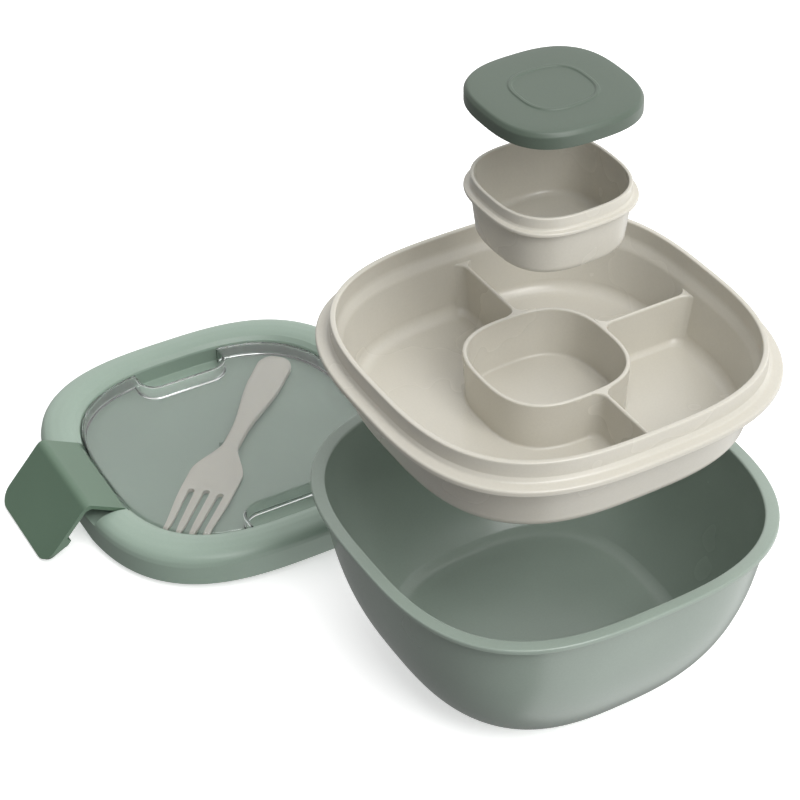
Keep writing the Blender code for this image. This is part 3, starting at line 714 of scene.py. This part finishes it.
def cover_outline(offset):
    """Plan of the cover with its two finger bays, drawn in by an offset."""
    half = RECESS_HALF - 0.0004 - offset
    side = BAY_LENGTH / 2.0 + offset
    inner = RECESS_HALF - 0.0004 - BAY_DEPTH - offset
    corner = BAY_CORNER + offset
    power = OUTLINE_POWER
    soft = max(0.0004, 0.0018 - offset)
    mouth = (half ** power - side ** power) ** (1.0 / power)
    start = math.atan2(side, mouth)
    after = start + soft / mouth
    bay = []
    for index in range(25):
        angle = math.radians(180.0 - 90.0 * index / 24.0)
        bay.append((inner + corner + corner * math.cos(angle), side - corner + corner * math.sin(angle)))
    first = Vector((mouth - soft, side))
    middle = Vector((mouth, side))
    last = Vector((reach(after, half, power) * math.cos(after), reach(after, half, power) * math.sin(after)))
    for index in range(9):
        t = index / 8.0
        spot = first * (1 - t) ** 2 + middle * 2 * t * (1 - t) + last * t ** 2
        bay.append((spot.x, spot.y))
    quarter = []
    for index in range(1, 61):
        angle = after + (math.pi / 2.0 - after) * index / 60.0
        radius = reach(angle, half, power)
        quarter.append((radius * math.cos(angle), radius * math.sin(angle)))
    right = bay + quarter
    left = [(-x, y) for x, y in reversed(right)]
    upper = right + left[1:]
    return upper + [(-x, -y) for x, y in upper]


def make_cover():
    top = LID_HEIGHT - COVER_DROP
    under = top - COVER_WALL
    wall = COVER_WALL
    base = COVER_BASE
    section = rounded([(wall + 0.0040, under), (wall, under), (wall, base + 0.0018),
                       (wall + 0.0007, base + 0.0009), (wall + 0.0007, base), (0.0, base),
                       (0.0, top), (0.0050, top)],
                      [0, 0.0010, 0.0004, 0.0004, 0.0004, 0.0003, 0.0016, 0], 6)
    builder = bmesh.new()
    rings = []
    for offset, height in section:
        rings.append([builder.verts.new((x, y, height)) for x, y in cover_outline(offset)])
    for lower, upper in zip(rings, rings[1:]):
        join_rings(builder, lower, upper)
    builder.faces.new(rings[0])
    builder.faces.new(rings[-1])
    cover = finish_mesh("clear_cover_fine", builder, CLEAR, 30.0)
    place_on_lid(cover, "cover_body", "fork_cover")


# ---- fork -------------------------------------------------------------------

def fork_half_width(share):
    keys = ((0.0, FORK_HANDLE_HALF), (0.15, FORK_HANDLE_HALF * 0.97), (0.46, FORK_NECK_HALF))
    keys += ((0.52, FORK_NECK_HALF), (0.68, FORK_HEAD_HALF), (0.78, FORK_HEAD_HALF))
    keys += ((1.0, FORK_HEAD_HALF * 0.86),)
    for (low, first), (high, second) in zip(keys, keys[1:]):
        if share <= high:
            t = (share - low) / (high - low)
            return first + (second - first) * t * t * (3.0 - 2.0 * t)
    return keys[-1][1]


def ease(value, low, high):
    t = min(1.0, max(0.0, (value - low) / (high - low)))
    return t * t * (3.0 - 2.0 * t)


def make_fork():
    """A tapering loft with a thick rounded handle and a dished head, then three slots."""
    start = -FORK_LENGTH / 2.0
    low = LID_FLOOR + GAP
    builder = bmesh.new()
    rings = []
    count = 40
    places = [0.5 - 0.5 * math.cos(math.pi * index / 24.0) for index in range(1, 13)]
    lengths = [FORK_HANDLE_HALF * 2.0 * place for place in places]
    straight = FORK_LENGTH - 0.0012 - FORK_HANDLE_HALF
    lengths += [FORK_HANDLE_HALF + straight * index / 110.0 for index in range(1, 111)]
    lengths += [FORK_LENGTH - 0.0006, FORK_LENGTH - 0.0001]
    for along in lengths:
        share = along / FORK_LENGTH
        half = fork_half_width(share)
        if along < FORK_HANDLE_HALF:
            half *= math.sqrt(max(0.0, 1.0 - (1.0 - along / FORK_HANDLE_HALF) ** 2))
        head = ease(share, 0.53, 0.66)
        tip = ease(share, 0.78, 1.0)
        thick = 0.0042 - 0.0019 * head - 0.0007 * tip
        end = min(1.0, (FORK_LENGTH - along) / 0.0010)
        thick *= 0.35 + 0.65 * math.sqrt(max(0.0, 1.0 - (1.0 - end) ** 2))
        if along < FORK_HANDLE_HALF * 0.25:
            thick *= 0.45 + 0.55 * math.sqrt(1.0 - (1.0 - along / (FORK_HANDLE_HALF * 0.25)) ** 2)
        dish = 0.0011 * head * (1.0 - 0.8 * ease(share, 0.74, 0.95))
        rise = 0.0006 * (1.0 - head) + dish + 0.0004 * tip
        verts = []
        for index in range(count):
            turn = 2.0 * math.pi * (index + 0.5) / count
            c, sn = math.cos(turn), math.sin(turn)
            box = (abs(c) ** 5.0 + abs(sn) ** 5.0) ** (-0.2)
            across = half * c * box
            high = thick * 0.5 * sn * box
            corner = abs(c * box)
            if corner > 0.93:
                bulge = math.sqrt(max(0.0, 1.0 - (high / (thick * 0.5)) ** 2 * 0.8))
                across = half * (1.0 if c > 0 else -1.0) * (0.93 + 0.07 * bulge)
            sag = dish * (1.0 - min(1.0, abs(across) / max(half, 1e-6)) ** 2)
            x, y = beside_fork(start + along, across)
            verts.append(builder.verts.new((x, y, low + thick * 0.5 + rise + high - sag)))
        rings.append(verts)
    for lower, upper in zip(rings, rings[1:]):
        join_rings(builder, lower, upper)
    builder.faces.new(rings[0])
    builder.faces.new(rings[-1])
    fork = finish_mesh("fork_fine", builder, STONE, 50.0)
    tip_half = fork_half_width(1.0)
    tine_tip = (2.0 * tip_half - 3.0 * TINE_GAP) / 4.0
    tine_root = (2.0 * FORK_HEAD_HALF - 3.0 * TINE_GAP) / 4.0
    tip = start + FORK_LENGTH
    root = tip - TINE_LENGTH
    for index in range(3):
        middle_root = -FORK_HEAD_HALF + index * (tine_root + TINE_GAP) + tine_root + TINE_GAP / 2.0
        middle_tip = -tip_half + index * (tine_tip + TINE_GAP) + tine_tip + TINE_GAP / 2.0
        shorter = 0.0012 if index != 1 else 0.0
        radius = TINE_GAP / 2.0
        outline = []
        for step in range(13):
            turn = math.radians(90.0 + 180.0 * step / 12.0)
            outline.append((root + shorter + radius + radius * math.cos(turn),
                            middle_root + radius * math.sin(turn)))
        flare = ((tip - 0.008, radius), (tip - 0.001, radius * 1.25), (tip + 0.003, radius * 1.8))
        for side, ends in ((-1.0, flare), (1.0, flare[::-1])):
            for along, half in ends:
                share = (along - root) / TINE_LENGTH
                outline.append((along, middle_root + (middle_tip - middle_root) * share + side * half))
        slot = bmesh.new()
        lower = [slot.verts.new((*beside_fork(a, c), low - 0.003)) for a, c in outline]
        upper = [slot.verts.new((*beside_fork(a, c), low + 0.009)) for a, c in outline]
        join_rings(slot, lower, upper)
        slot.faces.new(lower)
        slot.faces.new(upper)
        cut(fork, finish_mesh("slot", slot, None))
    tidy(fork, 40.0)
    soften(fork, 0.0003, 2, 50.0)
    place_on_lid(fork, "fork_body", "fork")


# ---- latch ------------------------------------------------------------------

def latch_section(flap):
    slope = math.radians(-LATCH_SLOPE)
    plate = Vector((math.cos(slope), math.sin(slope)))
    plate_up = Vector((-plate.y, plate.x))
    fold = math.radians(-LATCH_SLOPE - LATCH_FOLD)
    down = Vector((math.cos(fold), math.sin(fold)))
    inward = Vector((down.y, -down.x))
    corner = plate * LATCH_PLATE + plate_up * BARREL_RADIUS
    lip_under = -(FLANGE_THICK + GAP) - LIP_THICK - 2 * GAP - PIN_HEIGHT
    hook = (corner.y - lip_under) / -down.y
    under = BARREL_RADIUS - LATCH_THICK
    bend_in = corner + inward * LATCH_THICK
    meet = plate.x * LATCH_PLATE - LATCH_THICK * 1.05
    points = []
    for index in range(25):
        angle = slope + math.radians(90.0 + 10.0 * index)
        points.append(Vector((math.cos(angle), math.sin(angle))) * BARREL_RADIUS)
    points.append(plate * (BARREL_RADIUS * 1.02) + plate_up * under)
    points.append(plate * (meet - 0.0010) + plate_up * under)
    points.append(bend_in + down * (LATCH_THICK + 0.0014))
    points.append(corner + inward * LATCH_THICK + down * hook)
    points.append(corner + inward * (LATCH_THICK + HOOK_THICK) + down * hook)
    points.append(corner + inward * (LATCH_THICK + HOOK_THICK) + down * (hook + 0.0030))
    points.append(corner + inward * LATCH_THICK + down * (flap - 0.0004))
    points.append(corner + down * flap)
    bend = []
    start = corner + down * 0.0034
    end = corner - plate * 0.0034
    for step in range(7):
        t = step / 6.0
        bend.append(start * (1 - t) ** 2 + corner * 2 * t * (1 - t) + end * t ** 2)
    return points + bend


def make_latch(name, side, body):
    half = LATCH_WIDTH / 2.0
    straight = half - LATCH_CORNER
    stations = []
    for index in range(15):
        turn = math.radians(90.0 * index / 14.0)
        inset = LATCH_CORNER * (1.0 - math.sin(turn))
        stations.append((straight + LATCH_CORNER * math.cos(turn), LATCH_FLAP - inset))
    stations = stations + [(-x, flap) for x, flap in reversed(stations)]
    opened = math.radians(LATCH_OPEN)
    builder = bmesh.new()
    rings = []
    for x, flap in stations:
        verts = []
        for point in latch_section(flap):
            out = point.x * math.cos(opened) - point.y * math.sin(opened)
            up = point.x * math.sin(opened) + point.y * math.cos(opened)
            verts.append(builder.verts.new((x, side * (PIN_HALF + out), PIN_HEIGHT + up)))
        rings.append(verts)
    for first, second in zip(rings, rings[1:]):
        join_rings(builder, first, second)
    builder.faces.new(rings[0])
    builder.faces.new(rings[-1])
    latch = finish_mesh(name + "_fine", builder, LATCH_GREEN, 30.0)
    cut(latch, bar_x("bore", circle_section(side * PIN_HALF, PIN_HEIGHT, PIN_RADIUS + GAP, 24), half + 0.001))
    tidy(latch, 30.0)
    soften(latch, 0.00035, 2, 30.0)
    place_on_lid(latch, body, name)


def make_pin(name, side):
    half = LATCH_WIDTH / 2.0 + 0.0006 + PIN_HOLD
    pin = bar_x(name + "_fine", circle_section(side * PIN_HALF, PIN_HEIGHT, PIN_RADIUS, 32), half, PIN_MAT)
    soften(pin, 0.0002, 2, 60.0)
    place_on_lid(pin, "lid_body", name)


make_bowl()
make_tray()
make_cup()
make_cup_lid()
make_lid_frame()
make_gasket()
make_cover()
make_fork()
make_latch("latch_front", -1.0, "latch_front_body")
make_latch("latch_back", 1.0, "latch_back_body")
make_pin("latch_pin_front", -1.0)
make_pin("latch_pin_back", 1.0)


# ---- studio -----------------------------------------------------------------

AZ, EL, ROLL = 60.54, 37.47, -1.144
DISTANCE = 1.10
LENS = 36.0 * 2315.0 / 800.0
ASIDE, BELOW = 0.06579, -0.1079
ROOM, WALL, CARD = 0.27, 0.80, 0.95


def make_floor():
    builder = bmesh.new()
    size = 3.0
    corners = [(-size, -size), (size, -size), (size, size), (-size, size)]
    builder.faces.new([builder.verts.new((x, y, -0.0003)) for x, y in corners])
    n = Nodes("paper_floor")
    coords = n.add("ShaderNodeTexCoord")
    soft = n.add("ShaderNodeTexNoise", {"Vector": coords.outputs["Object"], "Scale": 3.0, "Detail": 2.0})
    ramp = n.add("ShaderNodeValToRGB", {"Fac": soft.outputs["Fac"]})
    ramp.color_ramp.elements[0].color = (0.93, 0.93, 0.93, 1.0)
    ramp.color_ramp.elements[1].color = (0.95, 0.95, 0.95, 1.0)
    n.link(ramp.outputs["Color"], n.shader.inputs["Base Color"])
    n.shader.inputs["Roughness"].default_value = 0.9
    n.shader.inputs["Specular IOR Level"].default_value = 0.1
    n.shader.inputs["Emission Color"].default_value = (1.0, 1.0, 1.0, 1.0)
    n.shader.inputs["Emission Strength"].default_value = 0.50
    floor = finish_mesh("studio_floor", builder, n.mat)
    floor.visible_diffuse = False
    floor.visible_glossy = False


def area_light(name, place, target, size, energy, colour=(1.0, 1.0, 1.0)):
    data = bpy.data.lights.new(name, "AREA")
    data.shape = "RECTANGLE"
    data.size, data.size_y = size
    data.energy = energy
    data.color = colour
    made = bpy.data.objects.new(name, data)
    bpy.context.scene.collection.objects.link(made)
    made.location = place
    made.rotation_euler = (Vector(target) - Vector(place)).to_track_quat("-Z", "Y").to_euler()


def make_world():
    """A dim room with a bright wall behind and a bright card low on the right."""
    world = bpy.data.worlds.new("studio")
    world.use_nodes = True
    tree = world.node_tree
    nodes = tree.nodes
    links = tree.links
    coords = nodes.new("ShaderNodeTexCoord")

    def toward(direction, low, high):
        dot = nodes.new("ShaderNodeVectorMath")
        dot.operation = "DOT_PRODUCT"
        links.new(coords.outputs["Generated"], dot.inputs[0])
        dot.inputs[1].default_value = Vector(direction).normalized()
        ramp = nodes.new("ShaderNodeMapRange")
        ramp.interpolation_type = "SMOOTHSTEP"
        links.new(dot.outputs["Value"], ramp.inputs["Value"])
        ramp.inputs["From Min"].default_value = low
        ramp.inputs["From Max"].default_value = high
        return ramp.outputs["Result"]

    def combine(operation, first, second):
        step = nodes.new("ShaderNodeMath")
        step.operation = operation
        for index, value in enumerate((first, second)):
            if isinstance(value, float):
                step.inputs[index].default_value = value
            else:
                links.new(value, step.inputs[index])
        return step.outputs[0]

    wall = toward((-0.55, 0.70, 0.45), 0.05, 0.85)
    card = combine("MULTIPLY", toward((0.087, 0.996, 0.0), -0.05, 0.05),
                   toward((0.94, 0.342, 0.0), -0.1, 0.1))
    card = combine("MULTIPLY", card, toward((0.0, 0.0, -1.0), -0.15, 0.1))
    total = combine("ADD", combine("MULTIPLY", wall, WALL), combine("MULTIPLY", card, CARD))
    total = combine("ADD", total, ROOM)
    links.new(total, nodes["Background"].inputs["Strength"])
    nodes["Background"].inputs["Color"].default_value = (1.0, 1.0, 1.0, 1.0)
    bpy.context.scene.world = world


def make_light():
    make_world()
    bpy.context.scene.view_settings.view_transform = "Standard"
    area_light("overhead", (1.35, -0.05, 2.9), (-0.05, 0.0, 0.1), (2.0, 2.0), 50.0)
    area_light("right_side", (2.3, 0.7, 0.75), (0.0, 0.0, 0.12), (0.8, 1.2), 4.0)
    area_light("into_cups", (1.7, 0.15, 1.55), (0.0, 0.0, 0.22), (1.0, 1.0), 21.0)


def make_camera():
    azimuth = math.radians(AZ)
    elevation = math.radians(EL)
    roll = math.radians(ROLL)
    back = Vector((math.sin(azimuth) * math.cos(elevation),
                   -math.cos(azimuth) * math.cos(elevation), math.sin(elevation)))
    level = Vector((math.cos(azimuth), math.sin(azimuth), 0.0))
    above = back.cross(level)
    right = level * math.cos(roll) + above * math.sin(roll)
    up = above * math.cos(roll) - level * math.sin(roll)
    data = bpy.data.cameras.new("camera")
    data.sensor_width = 36.0
    data.lens = LENS
    data.clip_start = 0.01
    data.clip_end = 20.0
    made = bpy.data.objects.new("camera", data)
    bpy.context.scene.collection.objects.link(made)
    place = back * DISTANCE - right * ASIDE - up * BELOW
    turn = Matrix((right, up, back)).transposed().to_4x4()
    made.matrix_world = Matrix.Translation(place) @ turn
    bpy.context.scene.camera = made


make_floor()
make_light()
make_camera()
